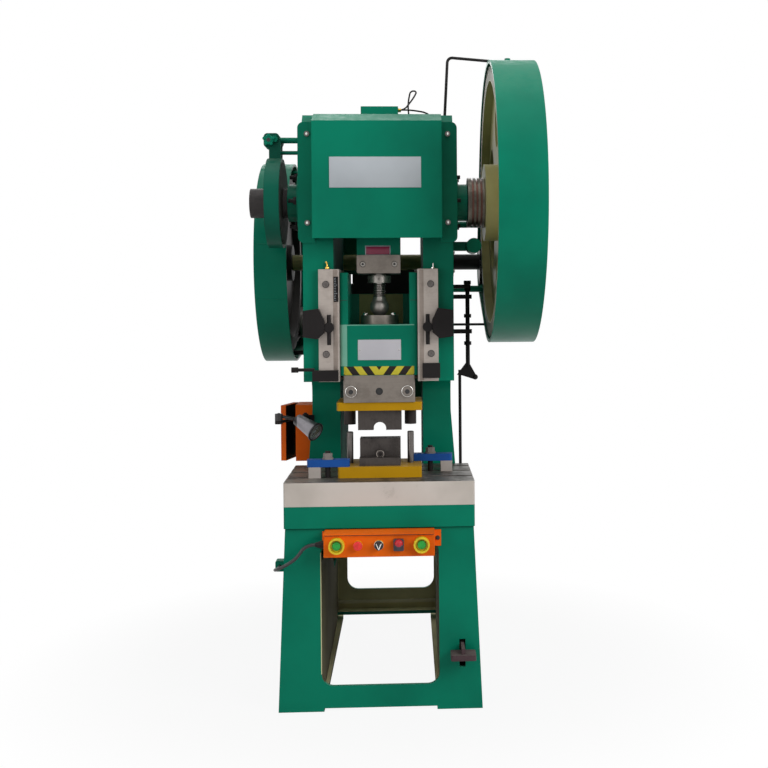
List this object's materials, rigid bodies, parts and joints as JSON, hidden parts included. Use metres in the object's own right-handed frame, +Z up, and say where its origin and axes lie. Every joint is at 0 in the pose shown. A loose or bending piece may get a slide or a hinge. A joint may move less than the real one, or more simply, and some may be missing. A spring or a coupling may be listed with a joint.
{
  "type": "mechanical stamping press",
  "caption": "Open-back inclinable crank press with back gear, guarded flywheel, slide with die set, bolster and welded stand.",
  "frame": {"origin": "on the floor, in the middle of the four anchor holes of the stand", "axes": "+X to the machine's right side, +Y from the operator to the rear, +Z up"},
  "size_m": [0.873, 1.377, 1.9692],
  "materials": {
    "green_paint": "satin",
    "khaki_paint": "satin",
    "machined_steel": "ground",
    "bolster_steel": "worn",
    "dark_steel": "oiled",
    "black_oxide": "satin",
    "cast_iron": "oiled",
    "polished_steel": "polished",
    "die_yellow": "gloss",
    "clamp_blue": "gloss",
    "box_orange": "gloss",
    "ring_yellow": "gloss",
    "button_green": "gloss",
    "button_red": "gloss",
    "switch_grey": "matt",
    "belt_rubber": "matt",
    "motor_grey": "satin",
    "pedal_brown": "worn",
    "lamp_metal": "satin"
  },
  "bodies": {
    "base": {"base_stand": "green_paint", "pivot_pins": "dark_steel", "control_box": "box_orange", "button_rings": "ring_yellow", "indicator_switch": "switch_grey", "control_cable": "belt_rubber", "cable_glands": "black_oxide"},
    "frame": {"c_frame": "green_paint", "tilt_bolts": "dark_steel", "bolster": "bolster_steel", "gibs": "machined_steel", "frame_screws": "machined_steel", "stroke_scale": "black_oxide", "knockout_brackets": "black_oxide", "front_cover": "green_paint", "bearing_flanges": "green_paint", "gear_guard": "green_paint", "guard_bracket": "green_paint", "belt_guard": "green_paint", "motor": "motor_grey", "motor_plate": "black_oxide", "brake_band": "green_paint", "brake_anchor": "green_paint", "lubricator": "green_paint", "electric_cabinet": "box_orange", "trip_bracket": "black_oxide", "lamp_foot": "black_oxide", "v_belts": "belt_rubber", "lower_die_plate": "die_yellow", "guide_posts": "machined_steel", "lower_die": "dark_steel", "clamp_bars": "clamp_blue", "clamp_studs": "black_oxide"},
    "slide": {"slide": "green_paint", "ball_seat": "machined_steel", "shank_block": "machined_steel", "shank_screws": "machined_steel", "upper_die_plate": "die_yellow", "upper_die": "dark_steel"},
    "crank": {"crankshaft": "dark_steel", "brake_drum": "cast_iron", "clutch_hub": "dark_steel"},
    "con_rod": {"con_rod": "green_paint", "rod_cap": "machined_steel", "ball_screw": "machined_steel", "capstan_nut": "polished_steel"},
    "gear": {"big_gear": "khaki_paint"},
    "drive": {"drive_shaft": "khaki_paint", "flywheel": "cast_iron"},
    "motor_rotor": {"motor_pulley": "machined_steel"},
    "palm_left": {"palm_button_left": "button_green"},
    "palm_right": {"palm_button_right": "button_green"},
    "stop": {"stop_button": "button_red"},
    "selector": {"selector_knob": "black_oxide"},
    "pedal": {"foot_pedal": "pedal_brown"},
    "lower_rod": {"pedal_link": "black_oxide"},
    "upper_rod": {"trip_rod": "black_oxide"},
    "door": {"cabinet_door": "box_orange"},
    "lamp_arm": {"lamp_arm": "black_oxide"},
    "lamp_head": {"lamp_head": "lamp_metal"}
  },
  "joints": [
    {"name": "frame_tilt", "type": "hinge", "parent": "base", "child": "frame", "pos_m": [0, -0.03, 0.49], "axis": [1, 0, 0], "range_deg": [-25, 0]},
    {"name": "crank_turn", "type": "hinge", "parent": "frame", "child": "crank", "pos_m": [0, -0.315, 1.508], "axis": [1, 0, 0], "range_deg": [-180, 0]},
    {"name": "con_rod_swing", "type": "hinge", "parent": "crank", "child": "con_rod", "pos_m": [0, -0.315, 1.548], "axis": [1, 0, 0], "range_deg": [0, 180]},
    {"name": "slide_stroke", "type": "slide", "parent": "frame", "child": "slide", "axis": [0, 0, 1], "range_m": [-0.08, 0]},
    {"name": "gear_turn", "type": "hinge", "parent": "frame", "child": "gear", "pos_m": [0, -0.315, 1.508], "axis": [1, 0, 0], "continuous": true},
    {"name": "drive_turn", "type": "hinge", "parent": "frame", "child": "drive", "pos_m": [0, 0.13538, 1.342], "axis": [1, 0, 0], "continuous": true},
    {"name": "motor_turn", "type": "hinge", "parent": "frame", "child": "motor_rotor", "pos_m": [0, 0.53, 1.13], "axis": [1, 0, 0], "continuous": true},
    {"name": "palm_left_press", "type": "slide", "parent": "base", "child": "palm_left", "axis": [0, 1, 0], "range_m": [0, 0.006], "stiffness_N_per_m": 600, "springref_m": -0.004},
    {"name": "palm_right_press", "type": "slide", "parent": "base", "child": "palm_right", "axis": [0, 1, 0], "range_m": [0, 0.006], "stiffness_N_per_m": 600, "springref_m": -0.004},
    {"name": "stop_press", "type": "slide", "parent": "base", "child": "stop", "axis": [0, 1, 0], "range_m": [0, 0.005], "stiffness_N_per_m": 600, "springref_m": -0.004},
    {"name": "selector_turn", "type": "hinge", "parent": "base", "child": "selector", "pos_m": [-0.001, -0.572, 0.504], "axis": [0, 1, 0], "range_deg": [-45, 45]},
    {"name": "pedal_press", "type": "hinge", "parent": "base", "child": "pedal", "pos_m": [0.241, 0.15, 0.186], "axis": [1, 0, 0], "range_deg": [0, 4.4], "stiffness_Nm_per_rad": 150, "springref_deg": -14.32},
    {"name": "lower_rod_pull", "type": "slide", "parent": "base", "child": "lower_rod", "axis": [0, 0, 1], "range_m": [-0.02, 0]},
    {"name": "upper_rod_pull", "type": "slide", "parent": "frame", "child": "upper_rod", "axis": [0, 0, 1], "range_m": [-0.02, 0]},
    {"name": "door_swing", "type": "hinge", "parent": "frame", "child": "door", "pos_m": [-0.286, 0.03, 0.7765], "axis": [0, 0, 1], "range_deg": [-100, 12]},
    {"name": "lamp_arm_swing", "type": "hinge", "parent": "frame", "child": "lamp_arm", "pos_m": [-0.245, -0.152, 0.836], "axis": [0, 0, 1], "range_deg": [0, 25]},
    {"name": "lamp_head_turn", "type": "hinge", "parent": "lamp_arm", "child": "lamp_head", "pos_m": [-0.318, -0.264, 0.836], "axis": [0, 0, 1], "range_deg": [-45, 4]}
  ],
  "couplings": [
    {"joint": "con_rod_swing", "follows": "crank_turn", "ratio": -1},
    {"joint": "slide_stroke", "follows": "crank_turn", "m_per_rad": 0.025465},
    {"joint": "drive_turn", "follows": "gear_turn", "ratio": -5.6667},
    {"joint": "motor_turn", "follows": "gear_turn", "ratio": -32.661},
    {"joint": "lower_rod_pull", "follows": "pedal_press", "m_per_rad": -0.2427},
    {"joint": "upper_rod_pull", "follows": "pedal_press", "m_per_rad": -0.2427}
  ]
}
